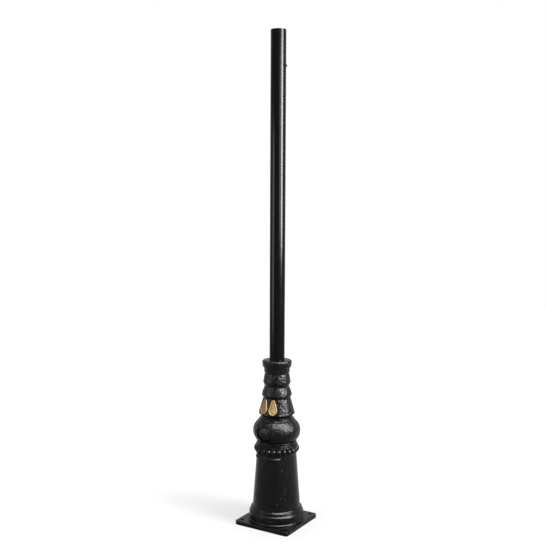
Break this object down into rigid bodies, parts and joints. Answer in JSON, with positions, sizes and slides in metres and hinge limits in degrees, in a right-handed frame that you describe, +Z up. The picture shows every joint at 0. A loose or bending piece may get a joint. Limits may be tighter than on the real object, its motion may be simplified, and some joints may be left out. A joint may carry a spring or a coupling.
{
  "type": "lamp post",
  "caption": "Cast pedestal lamp post with a tapered round base, access door, bulb, stacked ring castings, gilded ornaments and a plain tube shaft",
  "frame": {"origin": "centre of the base plate's underside", "axes": "+Z up along the shaft, -Y towards the access door, +X to the right of the door"},
  "size_m": [0.305, 0.305, 2.438],
  "materials": {
    "black_castings": "gloss black enamel over a rough sand casting",
    "black_tube": "smooth gloss black enamel on steel",
    "gilt": "gold paint on a cast ornament",
    "zinc_screws": "zinc plated",
    "black_screws": "painted over with black enamel",
    "brass": "drawn and machined",
    "board": "varnished plywood",
    "terminal_plastic": "moulded"
  },
  "bodies": {
    "root": {"pedestal": "black_castings", "access_door": "black_castings", "door_screw": "black_screws", "crest_collar": "black_castings", "crest_left": "gilt", "crest_right": "gilt", "lower_ring": "black_castings", "upper_ring": "black_castings", "top_collar": "black_castings", "shaft_tube": "black_tube", "lantern_screw": "black_screws", "shaft_screws": "zinc_screws", "collar_screws": "black_screws", "cable_board": "board", "board_screws": "zinc_screws", "terminal_block": "terminal_plastic", "terminal_barrels": "brass", "terminal_clamps": "brass", "block_screws": "zinc_screws", "earth_stud": "brass", "earth_washers": "brass", "earth_nuts": "brass"}
  },
  "joints": []
}
